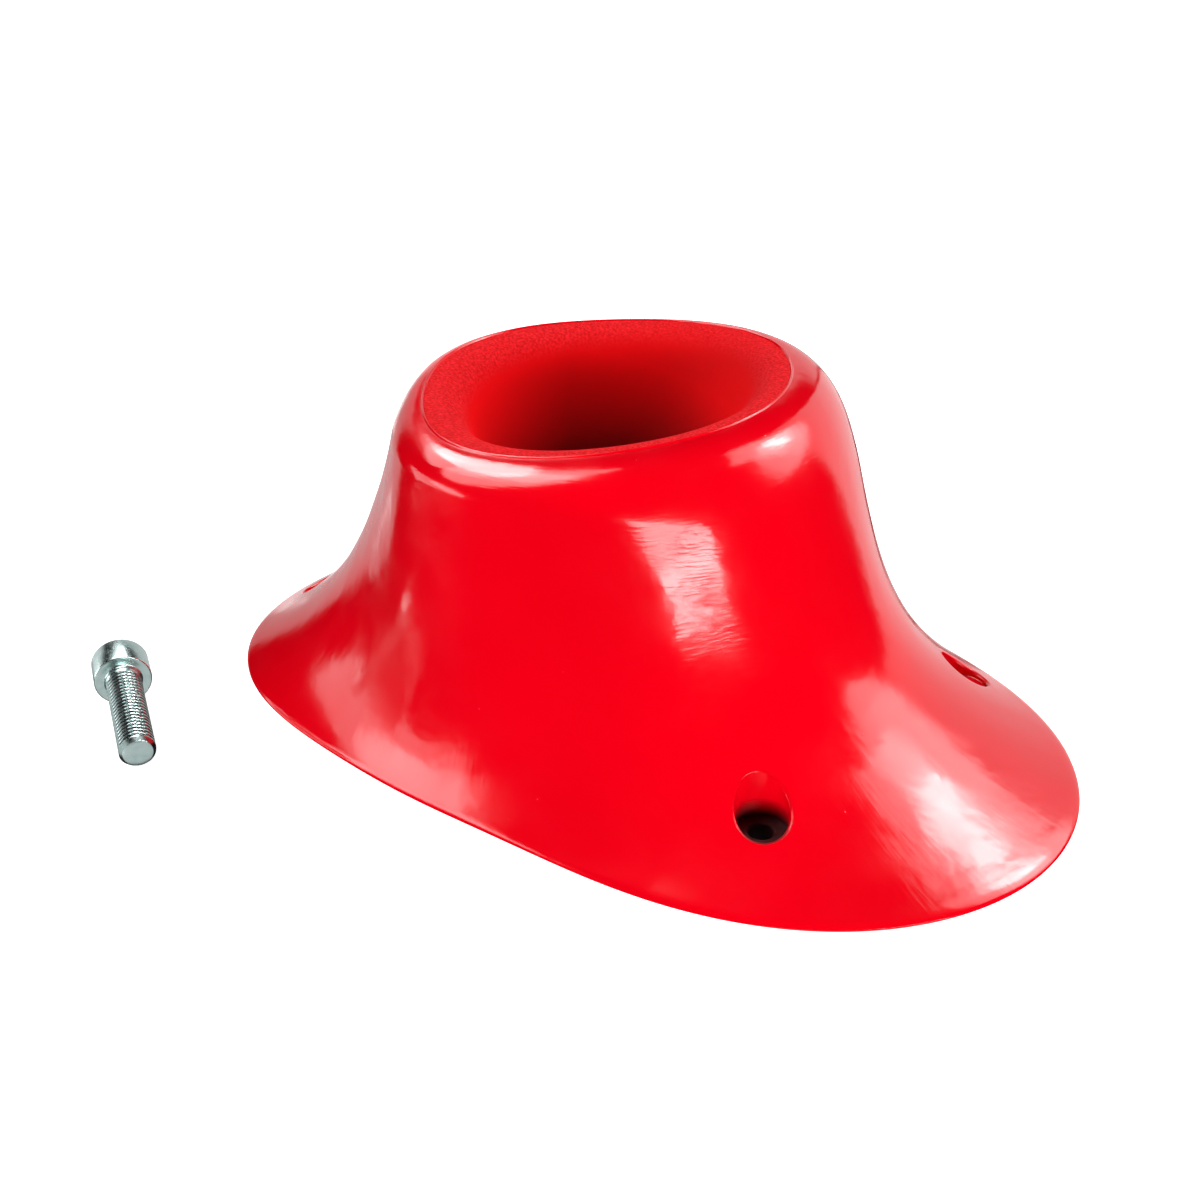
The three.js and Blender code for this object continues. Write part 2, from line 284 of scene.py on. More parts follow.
def climb_at_floor(angle, depth):
    """The climb at which the inset flare meets the wall plane, found by halving."""
    low = np.zeros_like(angle)
    high = np.ones_like(angle)
    for _ in range(40):
        middle = (low + high) / 2
        under = flare_inset(angle, middle, depth)[..., 2] < 0
        low = np.where(under, middle, low)
        high = np.where(under, high, middle)
    return (low + high) / 2


def flare_height(x, y):
    """Height of the flare over a place in plan: Newton steps on bearing and climb until the plan place
    agrees."""
    angle = np.arctan2(y, x)
    climb = np.full_like(angle, 0.2)
    step = 1e-4
    for _ in range(30):
        here = flare(angle, climb)[..., :2]
        by_angle = (flare(angle + step, climb)[..., :2] - here) / step
        by_climb = (flare(angle, climb + step)[..., :2] - here) / step
        miss = np.stack([x, y], -1) - here
        cross = by_angle[..., 0] * by_climb[..., 1] - by_angle[..., 1] * by_climb[..., 0]
        angle = angle + (miss[..., 0] * by_climb[..., 1] - miss[..., 1] * by_climb[..., 0]) / cross
        change = (by_angle[..., 0] * miss[..., 1] - by_angle[..., 1] * miss[..., 0]) / cross
        climb = np.clip(climb + np.clip(change, -0.1, 0.1), 0, 1)
    return flare(angle, climb)[..., 2]


def crater_section(share):
    """Radius and drop along the crater's wall: a cubic curve from the mouth over the lip to the well."""
    points = np.array([
        [CUP_MOUTH_RADIUS, 0],
        [CUP_MOUTH_RADIUS - LIP_WIDTH, LIP_CROWN],
        [CUP_MOUTH_RADIUS * FUNNEL_TURN_RADIUS, -FUNNEL_DEPTH * FUNNEL_TURN_DEPTH],
        [WELL_RADIUS, -FUNNEL_DEPTH],
    ])
    t = np.asarray(share, float)[..., None]
    s = 1 - t
    place = s**3 * points[0] + 3 * s**2 * t * points[1] + 3 * s * t**2 * points[2] + t**3 * points[3]
    along = s**2 * (points[1] - points[0]) + 2 * s * t * (points[2] - points[1])
    along += t**2 * (points[3] - points[2])
    return place, along / np.linalg.norm(along, axis=-1, keepdims=True)


def cup_ring(radius, drop, angle):
    """A ring of the cup: round at the well, taking on the mouth's own lobes and rise towards the mouth."""
    like_mouth = np.clip((radius - WELL_RADIUS) / (CUP_MOUTH_RADIUS - WELL_RADIUS), 0, 1)
    edge, outward = mouth_edge(angle)
    lobes = edge - outward * (SEAM_LAND + SEAM_GAP) - polar(CUP_MOUTH_RADIUS, angle)
    place = polar(radius, angle) + like_mouth[..., None] * lobes
    height = (HOLD_HEIGHT + like_mouth * rim_rise(angle, place[..., 1])) * (1 + drop / HOLD_HEIGHT)
    return np.concatenate([place, height[..., None]], -1)


def hand_finish(points, size):
    """Faint unevenness of a hand-rubbed pattern: a few crossed long waves pushed along the radius."""
    x, y, z = points[..., 0], points[..., 1], points[..., 2]
    wave = np.sin(x / 9.1 + 1.3 * np.sin(z / 13.0)) * np.cos(y / 11.7 - 0.8)
    wave += 0.6 * np.sin((x + y) / 6.3 + z / 8.1) * np.cos(z / 7.7 + 2.0)
    wave += 0.4 * np.sin((x - 1.4 * y) / 4.3) * np.cos((z + 0.3 * x) / 5.9)
    flat = points[..., :2] / np.maximum(np.linalg.norm(points[..., :2], axis=-1, keepdims=True), 1)
    return points + np.concatenate([flat, np.zeros_like(z)[..., None]], -1) * (size * wave)[..., None]


# Meshes


def grid_faces(rows, columns, closed):
    """Quads of a grid whose columns wrap round, and whose rows wrap too when closed."""
    row = np.arange(rows if closed else rows - 1)[:, None]
    column = np.arange(columns)[None, :]
    next_row = (row + 1) % rows
    next_column = (column + 1) % columns
    corners = [row * columns + column, row * columns + next_column]
    corners += [next_row * columns + next_column, next_row * columns + column]
    return np.stack([np.broadcast_to(c, (row.size, columns)) for c in corners], -1).reshape(-1, 4)


def piece(name, points, faces, materials, finish=None):
    """A mesh object at the origin from points in millimetres; finish picks each face's material."""
    mesh = bpy.data.meshes.new(name)
    mesh.from_pydata((points.reshape(-1, 3) * MM).tolist(), [], faces.tolist())
    for material in materials:
        mesh.materials.append(material)
    if finish is not None:
        mesh.polygons.foreach_set("material_index", np.ascontiguousarray(finish, np.int32))
    mesh.update()
    made = bpy.data.objects.new(name, mesh)
    bpy.context.scene.collection.objects.link(made)
    return made


class FaceList:
    """Quads and triangles together, in the order they were given."""

    def __init__(self, *groups):
        self.groups = groups

    def tolist(self):
        return [face for group in self.groups for face in group.tolist()]


def capped(name, rings, materials, marked=None):
    """A closed piece through rings listed from the bottom up, each end closed by a fan to its middle. The
    marked quads take the second material."""
    rows, columns = rings.shape[:2]
    quads = grid_faces(rows, columns, False)
    points = np.concatenate([rings.reshape(-1, 3), rings[:1].mean(1), rings[-1:].mean(1)])
    side = np.arange(columns)
    after = (side + 1) % columns
    low = np.stack([np.full(columns, rows * columns), after, side], -1)
    top = (rows - 1) * columns
    high = np.stack([np.full(columns, rows * columns + 1), top + side, top + after], -1)
    finish = None if marked is None else np.concatenate([marked.reshape(-1), np.zeros(2 * columns)])
    return piece(name, points, FaceList(quads, low, high), materials, finish)


def combine(target, tool, operation):
    """Joins or cuts two closed meshes; the result stays in the first and the second goes."""
    step = target.modifiers.new(operation, "BOOLEAN")
    step.operation = operation
    step.solver = "MANIFOLD"
    step.material_mode = "TRANSFER"
    step.object = tool
    seen = target.evaluated_get(bpy.context.evaluated_depsgraph_get())
    target.data = bpy.data.meshes.new_from_object(seen)
    target.modifiers.clear()
    bpy.data.objects.remove(tool)
    return target


def smooth(made, degrees):
    """Shades a piece smooth but for edges sharper than the angle."""
    made.data.shade_smooth()
    made.data.set_sharp_from_angle(angle=math.radians(degrees))
    return made


def lathe(outline, columns):
    """Rings round the Z axis from (radius, height) pairs."""
    outline = np.asarray(outline, float)
    angle = np.linspace(0, 2 * np.pi, columns, endpoint=False)
    place = polar(outline[:, :1], angle[None, :])
    height = np.broadcast_to(outline[:, 1:], place.shape[:2])
    return np.concatenate([place, height[..., None]], -1)


def arc(centre, radius, start, stop, count):
    """Points of an arc in (radius, height), from one bearing to another in degrees."""
    turn = np.radians(np.linspace(start, stop, count))
    return np.stack([centre[0] + radius * np.cos(turn), centre[1] + radius * np.sin(turn)], -1)


def shell_rings(angle):
    """The shell's closed section at every bearing: skirt edge, flare, shoulder, seam bead, mouth wall, the
    hollow's ceiling, the inside of the flare, and the land on the wall. Also the numbers of the first rows
    of the flare, of the bead and of the mouth wall."""
    ones = np.ones_like(angle)
    low = flare(angle, 0 * ones)
    leave = flare(angle, SKIRT_ROUND * ones)
    inward = np.concatenate([leave[:, :2] - low[:, :2], np.zeros_like(angle)[:, None]], -1)
    inward /= np.linalg.norm(inward, axis=-1, keepdims=True)
    ground = low * [1, 1, 0]
    rows = [ground + inward * SKIRT_CHAMFER, ground + [0, 0, SKIRT_CHAMFER], low * [1, 1, 0.5]]
    for t in np.linspace(0, 1, 6)[1:-1]:
        rows.append((1 - t) ** 2 * rows[2] + 2 * t * (1 - t) * low + t**2 * leave)
    flare_row = len(rows)
    for t in np.linspace(0, 1, 120):
        rows.append(flare(angle, (SKIRT_ROUND + (1 - SKIRT_ROUND) * t**ROW_CROWDING) * ones))
    for t in np.linspace(0, 1, 34)[1:]:
        rows.append(shoulder(angle, t * ones))
    edge, outward = mouth_edge(angle)
    level = np.concatenate([outward, np.zeros_like(angle)[:, None]], -1)
    rim = rows[-1]
    bead_row = len(rows)
    for t in np.linspace(0, 1, 9)[1:]:
        rows.append(rim - level * (SEAM_LAND * t) + [0, 0, SEAM_BEAD * math.sin(math.pi * t)])
    wall_row = len(rows)
    hole = edge - outward * SEAM_LAND
    ceiling = flare_inset(angle, ones, SHELL_WALL)
    below = np.concatenate([hole, ceiling[:, 2:]], -1)
    rows[-1] = np.concatenate([hole, rim[:, 2:]], -1)
    rim = rows[-1]
    for t in np.linspace(0, 1, 5)[1:]:
        rows.append(rim + t * (below - rim))
    for t in np.linspace(0, 1, 4)[1:-1]:
        rows.append(below + t * (ceiling - below))
    floor = climb_at_floor(angle, SHELL_WALL)
    for t in np.linspace(1, 0, 44):
        rows.append(flare_inset(angle, floor + (1 - floor) * t**ROW_CROWDING, SHELL_WALL))
    rows[-1] = rows[-1] * [1, 1, 0]
    for t in np.linspace(0, 1, 4)[1:-1]:
        rows.append(rows[-1] + t * (rows[0] - rows[-1]))
    return np.stack(rows), flare_row, bead_row, wall_row


def screw_places():
    """Plan places of the four screws: a bearing, and a distance in from the skirt's edge."""
    angle = np.radians(SCREW_DEGREES)
    return polar(footprint(angle) - np.array(SCREW_INSETS), angle)


def column_rings(place, columns):
    """A screw column from the wall plane to a little under the flare's outside, never below the plane."""
    angle = np.linspace(0, 2 * np.pi, columns, endpoint=False)
    rim = place + polar(COLUMN_RADIUS, angle)
    top = np.maximum(flare_height(rim[:, 0], rim[:, 1]) - COLUMN_COVER, COLUMN_LEAST)
    ends = [np.zeros_like(top), top * 0.5, top]
    return np.stack([np.concatenate([rim, height[:, None]], -1) for height in ends])


def screw_cutter_rings(place, ledge, columns):
    """What a screw hole removes: a bore, a ledge, and a counterbore whose top rolls out over the flare. The
    roll is an arc that touches the bore's wall and the flare's slope on each bearing."""
    angle = np.linspace(0, 2 * np.pi, columns, endpoint=False)
    outline = [[SCREW_HOLE_RADIUS, -CUTTER_OVERRUN], [SCREW_HOLE_RADIUS, ledge - LEDGE_CHAMFER]]
    outline += [[SCREW_HOLE_RADIUS + LEDGE_CHAMFER, ledge]]
    corner = (COUNTERBORE_RADIUS - LEDGE_FILLET, ledge + LEDGE_FILLET)
    outline += arc(corner, LEDGE_FILLET, -90, 0, 4).tolist()
    rows = [np.concatenate([place + polar(r, angle), np.full((columns, 1), h)], -1) for r, h in outline]
    wide = place + polar(COUNTERBORE_RADIUS + HOLE_ROUND, angle)
    step = 0.5
    further = place + polar(COUNTERBORE_RADIUS + HOLE_ROUND + step, angle)
    height = flare_height(wide[:, 0], wide[:, 1])
    slope = (flare_height(further[:, 0], further[:, 1]) - height) / step
    steep = np.sqrt(1 + slope**2)
    centre = height - HOLE_ROUND * steep
    last = np.arctan2(1 / steep, -slope / steep)
    for t in np.linspace(0, HOLE_ROLL, 9):
        turn = np.pi + t * (last - np.pi)
        out = COUNTERBORE_RADIUS + HOLE_ROUND * (1 + np.cos(turn))
        up = centre + HOLE_ROUND * np.sin(turn)
        rows.append(np.concatenate([place + polar(out, angle), up[:, None]], -1))
    rise = rows[-1] - rows[-2]
    rows.append(rows[-1] + rise / np.linalg.norm(rise, axis=-1, keepdims=True) * HOLE_RUN_ON)
    rows.append(rows[-1] * [1, 1, 0] + [0, 0, HOLD_HEIGHT])
    return np.stack(rows)


def cup_rings(angle):
    """The cup's closed section at every bearing: crater, well, washer floor, bolt hole, boss, and the
    funnel's back. Also the number of the washer floor's first row."""
    share = np.linspace(0, 1, 110)
    place, _ = crater_section(share)
    rows = [cup_ring(r, d, angle) for r, d in place]
    floor = WASHER_HEIGHT - HOLD_HEIGHT
    corner = (WELL_RADIUS - WELL_FILLET, floor + WELL_FILLET)
    rows += [cup_ring(WELL_RADIUS, d, angle) for d in np.linspace(-FUNNEL_DEPTH, corner[1], 8)[1:]]
    rows += [cup_ring(r, d, angle) for r, d in arc(corner, WELL_FILLET, 0, -90, 5)[1:]]
    floor_row = len(rows)
    bore_edge = BORE_RADIUS + BORE_CHAMFER
    rows += [cup_ring(r, floor, angle) for r in np.linspace(corner[0], bore_edge, 5)[1:]]
    bore_wall = np.linspace(floor - BORE_CHAMFER, -HOLD_HEIGHT + BORE_CHAMFER, 4)
    rows += [cup_ring(BORE_RADIUS, d, angle) for d in bore_wall]
    boss_face = np.linspace(bore_edge, BOSS_RADIUS - BOSS_CHAMFER, 5)
    rows += [cup_ring(r, -HOLD_HEIGHT, angle) for r in boss_face]
    rows += [cup_ring(BOSS_RADIUS, -HOLD_HEIGHT + BOSS_CHAMFER, angle)]
    mouth = place[0, 0]
    place, along = crater_section(share[::-2])
    radius = np.minimum(place[:, 0] - along[:, 1] * CUP_WALL, mouth)
    rows += [cup_ring(r, d, angle) for r, d in zip(radius, place[:, 1] + along[:, 0] * CUP_WALL)]
    rows = [row for row in rows if row[:, 2].max() > -1]
    rows += [cup_ring(mouth, d, angle) for d in np.linspace(rows[-1][0, 2] - HOLD_HEIGHT, -0.6, 4)[1:]]
    return np.stack(rows), floor_row


def rib_rings(bearing):
    """A rib standing off the boss: a chamfered bar drawn outwards along its bearing."""
    half, low, high, cut = RIB_THICKNESS / 2, RIB_RECESS, RIB_HEIGHT, RIB_CHAMFER
    section = [[-half, low], [half, low], [half, high - cut], [half - cut, high]]
    section = np.array(section + [[cut - half, high], [-half, high - cut]])
    rows = []
    for out in (BOSS_RADIUS - CUP_WALL / 2, RIB_REACH):
        across = polar(out, bearing) + section[:, :1] * np.array([-np.sin(bearing), np.cos(bearing)])
        rows.append(np.concatenate([across, section[:, 1:]], -1))
    return np.stack(rows[::-1])


def room_rings(angle, depth):
    """The hollow of the back at the given depth under the flare, run down past the wall plane."""
    ones = np.ones_like(angle)
    rows = [flare_inset(angle, 0 * ones, depth) * [1, 1, 0] - [0, 0, depth + ROOM_OVERRUN]]
    rows += [flare_inset(angle, t**ROW_CROWDING * ones, depth) for t in np.linspace(0, 1, 40)]
    return np.stack(rows)


def thread_radius(angle, along):
    """Radius of the shank: a trapezoid wave along the helix, faded out under the head and at the tip."""
    phase = (along / THREAD_PITCH - angle / (2 * np.pi)) % 1
    wave = np.clip((np.abs(2 * phase - 1) - THREAD_ROOT_SHARE) / THREAD_FLANK_SHARE, 0, 1)
    fade = np.clip((along - THREAD_START) / THREAD_FADE, 0, 1)
    fade = fade * np.clip(BOLT_LENGTH - THREAD_STOP - along, 0, 1)
    return THREAD_RADIUS - THREAD_SLACK - THREAD_DEPTH * (1 - wave) * fade


def thread_roots(rings):
    """Marks the quads whose corners lie, on average, more than a third of the way down the thread; they take
    the painted shade of the thread roots.
    """
    radius = np.linalg.norm(rings[..., :2], axis=-1)
    radius = (radius[1:] + radius[:-1]) / 2
    radius = (radius + np.roll(radius, -1, 1)) / 2
    height = (rings[1:, :, 2] + rings[:-1, :, 2]) / 2
    on_shank = (height > THREAD_PITCH) & (height < BOLT_LENGTH - 1)
    return on_shank & (radius < THREAD_RADIUS - THREAD_DEPTH / 3)


def bolt_rings():
    """The bolt along +Z from its head's top to its tip, its bearing face at zero: rounded head edges, an
    undercut fillet, the threaded shank and a chamfered tip."""
    top = arc((HEAD_RADIUS - HEAD_TOP_ROUND, HEAD_TOP_ROUND - HEAD_HEIGHT), HEAD_TOP_ROUND, -90, 0, 8)
    under = arc((HEAD_RADIUS - HEAD_UNDER_ROUND, -HEAD_UNDER_ROUND), HEAD_UNDER_ROUND, 0, 90, 5)
    root = arc((THREAD_RADIUS + SHANK_FILLET, SHANK_FILLET), -SHANK_FILLET, 90, 0, 6)
    head = np.concatenate([[[2, -HEAD_HEIGHT]], [[5.5, -HEAD_HEIGHT]], top, under, [[6.6, 0]], root])
    rings = [lathe(head, BOLT_AROUND)]
    along = np.arange(SHANK_FILLET + 0.1, BOLT_LENGTH - 0.95, THREAD_PITCH / ROWS_PER_PITCH)
    angle = np.linspace(0, 2 * np.pi, BOLT_AROUND, endpoint=False)
    radius = thread_radius(angle[None, :], along[:, None])
    shank = polar(radius, angle[None, :])
    height = np.broadcast_to(along[:, None, None], radius.shape + (1,))
    rings.append(np.concatenate([shank, height], -1))
    tip = [[THREAD_RADIUS - 0.15, BOLT_LENGTH - 0.9], [THREAD_RADIUS - 0.85, BOLT_LENGTH - 0.12]]
    tip += [[THREAD_RADIUS - 1.05, BOLT_LENGTH], [2, BOLT_LENGTH]]
    rings.append(lathe(tip, BOLT_AROUND))
    return np.concatenate(rings)[::-1]


def lay_bolt(points):
    """Turns points from the bolt's own axis to where it lies: tipped onto its tip, headed, and moved."""
    tilt = math.atan2(HEAD_RADIUS - THREAD_RADIUS, BOLT_LENGTH - 1)
    radius = footprint(np.array(BOLT_BEARING)) + BOLT_STANDOFF
    place = Vector((*polar(radius, BOLT_BEARING), HEAD_RADIUS * math.cos(tilt)))
    turn = Matrix.Rotation(BOLT_HEADING, 3, "Z") @ Matrix.Rotation(tilt, 3, "Y")
    turn = turn @ Matrix.Rotation(math.pi / 2, 3, "Y")
    return points @ np.array(turn).T + np.array(place)


# Materials


def linear(code):
    """Linear red, green, blue and full alpha from an sRGB hex colour."""
    parts = np.array([int(code[i : i + 2], 16) / 255 for i in (1, 3, 5)])
    parts = np.where(parts <= 0.04045, parts / 12.92, ((parts + 0.055) / 1.055) ** 2.4)
    return (*parts.tolist(), 1.0)


def add(tree, kind, inputs=None, **settings):
    """Adds a node with its settings; an input is given a value, or a socket to link."""
    made = tree.nodes.new("ShaderNode" + kind)
    for name, value in settings.items():
        setattr(made, name, value)
    for name, value in (inputs or {}).items():
        if isinstance(value, bpy.types.NodeSocket):
            tree.links.new(value, made.inputs[name])
        else:
            made.inputs[name].default_value = value
    return made


def new_material(name):
    """An empty node material, its tree, and its Object coordinates."""
    material = bpy.data.materials.new(name)
    material.use_nodes = True
    tree = material.node_tree
    tree.nodes.clear()
    return material, tree, add(tree, "TexCoord").outputs["Object"]


def finish_material(tree, inputs):
    """Ends a material's tree in one shader with the given inputs."""
    surface = add(tree, "BsdfPrincipled", inputs)
    add(tree, "OutputMaterial", {"Surface": surface.outputs["BSDF"]})


def around_place(tree, place):
    """Coordinates on a turned form: the unit vector from the axis, and how far out and up, in metres."""
    parts = add(tree, "SeparateXYZ", {"Vector": place})
    flat = add(tree, "CombineXYZ", {"X": parts.outputs["X"], "Y": parts.outputs["Y"]})
    out = add(tree, "VectorMath", {"Vector": flat.outputs["Vector"]}, operation="LENGTH")
    unit = add(tree, "VectorMath", {"Vector": flat.outputs["Vector"]}, operation="NORMALIZE")
    return unit.outputs["Vector"], out.outputs["Value"], parts.outputs["Z"]


def scratches(tree, unit, travel, across, along):
    """Noise drawn out into fine scratches: cycles per radian round the form, and per metre of travel."""
    turned = add(tree, "VectorMath", {0: unit, "Scale": across}, operation="SCALE")
    stepped = add(tree, "Math", {0: travel, 1: along}, operation="MULTIPLY")
    raised = add(tree, "CombineXYZ", {"Z": stepped.outputs["Value"]})
    vector = add(tree, "VectorMath", {0: turned.outputs["Vector"], 1: raised.outputs["Vector"]})
    noise = add(tree, "TexNoise", {"Vector": vector.outputs["Vector"], "Scale": 1, "Detail": 1})
    return noise.outputs["Fac"]


def gloss_polyurethane():
    """Polyurethane resin cast in a polished mould: a saturated red with a wet gloss. Handling leaves patches
    of scratches about 0.7 mm wide and 5 mm long, round the collar and down the skirt, and the mould leaves
    0.7 mm pimples."""
    material, tree, place = new_material("gloss_cast_polyurethane")
    cloud = add(tree, "TexNoise", {"Vector": place, "Scale": 28, "Detail": 2})
    tint = add(tree, "ValToRGB", {"Fac": cloud.outputs["Fac"]})
    tint.color_ramp.elements[0].color = linear("#E60012")
    tint.color_ramp.elements[1].color = linear("#F20018")
    unit, out, up = around_place(tree, place)
    rise = add(tree, "Math", {0: up, 1: out}, operation="SUBTRACT")
    slant = add(tree, "Math", {0: up, 1: out}, operation="ADD")
    round_marks = scratches(tree, unit, rise.outputs["Value"], 14, 1300)
    down_marks = scratches(tree, unit, slant.outputs["Value"], 140, 170)
    height = add(tree, "MapRange", {"Value": up, "From Min": 0.02, "From Max": 0.045})
    marks = add(tree, "Mix", {0: height.outputs["Result"], 2: down_marks, 3: round_marks})
    worn = add(tree, "TexNoise", {"Vector": place, "Scale": 45, "Detail": 2})
    wear = add(tree, "MapRange", {"Value": worn.outputs["Fac"], "From Min": 0.42, "From Max": 0.62})
    fine = add(tree, "Bump", {
        "Height": marks.outputs[0],
        "Strength": wear.outputs["Result"],
        "Distance": 0.000035,
    })
    cells = add(tree, "TexVoronoi", {"Vector": place, "Scale": 90})
    pimple = add(tree, "MapRange", {
        "Value": cells.outputs["Distance"],
        "From Min": 0.0,
        "From Max": 0.03,
        "To Min": 1,
        "To Max": 0,
    })
    dots = add(tree, "Bump", {
        "Height": pimple.outputs["Result"],
        "Normal": fine.outputs["Normal"],
        "Distance": 0.00008,
    })
    peel = add(tree, "TexNoise", {"Vector": place, "Scale": 120, "Detail": 2})
    broad = add(tree, "Bump", {
        "Height": peel.outputs["Fac"],
        "Normal": dots.outputs["Normal"],
        "Distance": 0.00012,
    })
    smear = add(tree, "TexNoise", {"Vector": place, "Scale": 70, "Detail": 3})
    dull = add(tree, "MapRange", {
        "Value": smear.outputs["Fac"],
        "From Min": 0.35,
        "From Max": 0.7,
        "To Min": 0.11,
        "To Max": 0.2,
    })
    finish_material(tree, {
        "Base Color": tint.outputs["Color"],
        "Roughness": dull.outputs["Result"],
        "IOR": 1.47,
        "Normal": broad.outputs["Normal"],
    })
    return material


def bore_polyurethane():
    """Polyurethane resin in the front screw hole: glossy at the mouth. Over the lowest 5 mm of its wall it
    is dulled, and its colour is darkened there as painted shade."""
    material, tree, place = new_material("bore_cast_polyurethane_painted_shade")
    up = add(tree, "SeparateXYZ", {"Vector": place}).outputs["Z"]
    above_painted_shade = add(tree, "MapRange", {"Value": up, "From Min": 0.009, "From Max": 0.0135})
    # Painted shade: the colour goes dark red over the lowest 5 mm of the hole's wall and its ledge
    tint = add(tree, "ValToRGB", {"Fac": above_painted_shade.outputs["Result"]})
    tint.color_ramp.elements[0].color = linear("#2A0002")
    tint.color_ramp.elements[1].color = linear("#E60014")
    rough = add(tree, "MapRange", {"Value": above_painted_shade.outputs["Result"], "To Min": 0.8, "To Max": 0.2})
    finish_material(tree, {
        "Base Color": tint.outputs["Color"],
        "Roughness": rough.outputs["Result"],
        "Specular IOR Level": 0.35,
    })
    return material


def grit_polyurethane():
    """Polyurethane resin cast against a sanded mould: matt, with 0.6 mm grains on the lip. Below the brow
    the mould was sanded finer, so the funnel is smoother. Its colour is painted darker towards the well as
    painted shade, and darkest in a painted shadow band that runs across the funnel 10 mm to one side of its
    middle."""
    material, tree, place = new_material("grit_cast_polyurethane")
    up = add(tree, "SeparateXYZ", {"Vector": place}).outputs["Z"]
    brow = add(tree, "VectorMath", {0: place, 1: (0.013, -0.076, 1)}, operation="DOT_PRODUCT")
    lip = add(tree, "MapRange", {"Value": brow.outputs["Value"], "From Min": 0.084, "From Max": 0.0885})
    # Painted shadow band: the colour is darkest along a line 10 mm to one side of the funnel's middle
    sideways = add(tree, "VectorMath", {0: place, 1: (0.19, 0.16, 0)}, operation="DOT_PRODUCT")
    offset = add(tree, "Math", {0: sideways.outputs["Value"], 1: 0.0025}, operation="ADD")
    from_painted_shadow_band = add(tree, "Math", {0: offset.outputs["Value"]}, operation="ABSOLUTE")
    shade = add(tree, "Math", {0: up, 1: from_painted_shadow_band.outputs["Value"]}, operation="ADD")
    painted_shade_mask = add(tree, "MapRange", {
        "Value": shade.outputs["Value"],
        "From Min": 0.061,
        "From Max": 0.088,
    })
    grain = add(tree, "TexNoise", {"Vector": place, "Scale": 1300, "Detail": 2})
    tint = add(tree, "ValToRGB", {"Fac": grain.outputs["Fac"]})
    tint.color_ramp.elements[0].position = 0.35
    tint.color_ramp.elements[0].color = linear("#D8060E")
    tint.color_ramp.elements[1].position = 0.7
    tint.color_ramp.elements[1].color = linear("#FF262E")
    # Painted shade: the funnel's colour runs from red at the brow to dark red towards the well and the band
    funnel = add(tree, "ValToRGB", {"Fac": painted_shade_mask.outputs["Result"]})
    funnel.color_ramp.elements[0].color = linear("#6E0002")
    funnel.color_ramp.elements[1].color = linear("#F2020A")
    share = lip.outputs["Result"]
    colours = {0: share, 6: funnel.outputs["Color"], 7: tint.outputs["Color"]}
    colour = add(tree, "Mix", colours, data_type="RGBA")
    rise = add(tree, "Math", {0: share, 1: 0.85}, operation="MULTIPLY")
    depth = add(tree, "Math", {0: rise.outputs["Value"], 1: 0.15}, operation="ADD")
    bump = add(tree, "Bump", {
        "Height": grain.outputs["Fac"],
        "Strength": depth.outputs["Value"],
        "Distance": 0.00025,
    })
    finish_material(tree, {
        "Base Color": colour.outputs[2],
        "Roughness": 0.85,
        "Specular IOR Level": 0.05,
        "Normal": bump.outputs["Normal"],
    })
    return material


def raw_polyurethane():
    """Polyurethane resin left as poured at the open back of a mould: satin, with slow ripples."""
    material, tree, place = new_material("raw_cast_polyurethane")
    cloud = add(tree, "TexNoise", {"Vector": place, "Scale": 60, "Detail": 3})
    tint = add(tree, "ValToRGB", {"Fac": cloud.outputs["Fac"]})
    tint.color_ramp.elements[0].color = linear("#BE000A")
    tint.color_ramp.elements[1].color = linear("#DC040E")
    bump = add(tree, "Bump", {"Height": cloud.outputs["Fac"], "Strength": 1.0, "Distance": 0.0004})
    finish_material(tree, {
        "Base Color": tint.outputs["Color"],
        "Roughness": 0.5,
        "IOR": 1.47,
        "Normal": bump.outputs["Normal"],
    })
    return material


def zinc_steel(name, roughness, dark="#A6BDBC", light="#CCDDD9"):
    """Steel under clear-passivated electroplated zinc: a bright grey metal with a cool tint, or, when given
    dark colours, painted shade.
    """
    material, tree, place = new_material(name)
    cloud = add(tree, "TexNoise", {"Vector": place, "Scale": 420, "Detail": 3})
    tint = add(tree, "ValToRGB", {"Fac": cloud.outputs["Fac"]})
    tint.color_ramp.elements[0].color = linear(dark)
    tint.color_ramp.elements[1].color = linear(light)
    rough = add(tree, "MapRange", {
        "Value": cloud.outputs["Fac"],
        "To Min": roughness * 0.8,
        "To Max": roughness * 1.3,
    })
    bump = add(tree, "Bump", {"Height": cloud.outputs["Fac"], "Strength": 1.0, "Distance": 0.00002})
    finish_material(tree, {
        "Base Color": tint.outputs["Color"],
        "Metallic": 1.0,
        "Roughness": rough.outputs["Result"],
        "Normal": bump.outputs["Normal"],
    })
    return material


def paper_sweep():
    """Seamless white paper lit until it clips, and unlit where the hold covers it: within an ellipse of
    120 mm by 76 mm half axes, 15 mm towards the nose."""
    material, tree, place = new_material("white_paper_sweep")
    centred = add(tree, "Mapping", {"Vector": place, "Location": (-0.015, 0, 0)})
    shrunk = add(tree, "Mapping", {"Vector": centred.outputs["Vector"], "Scale": (1 / 0.12, 1 / 0.076, 1)})
    distance = add(tree, "VectorMath", {"Vector": shrunk.outputs["Vector"]}, operation="LENGTH")
    lit = add(tree, "MapRange", {"Value": distance.outputs["Value"], "From Min": 0.96, "From Max": 1.0})
    finish_material(tree, {
        "Base Color": linear("#F4F4F4"),
        "Roughness": 0.9,
        "Emission Color": (1, 1, 1, 1),
        "Emission Strength": lit.outputs["Result"],
    })
    return material


GLOSS = gloss_polyurethane()
# The bore material holds painted shade at the bottom of the front screw hole
BORE = bore_polyurethane()
GRIT = grit_polyurethane()
RAW = raw_polyurethane()


# Pieces


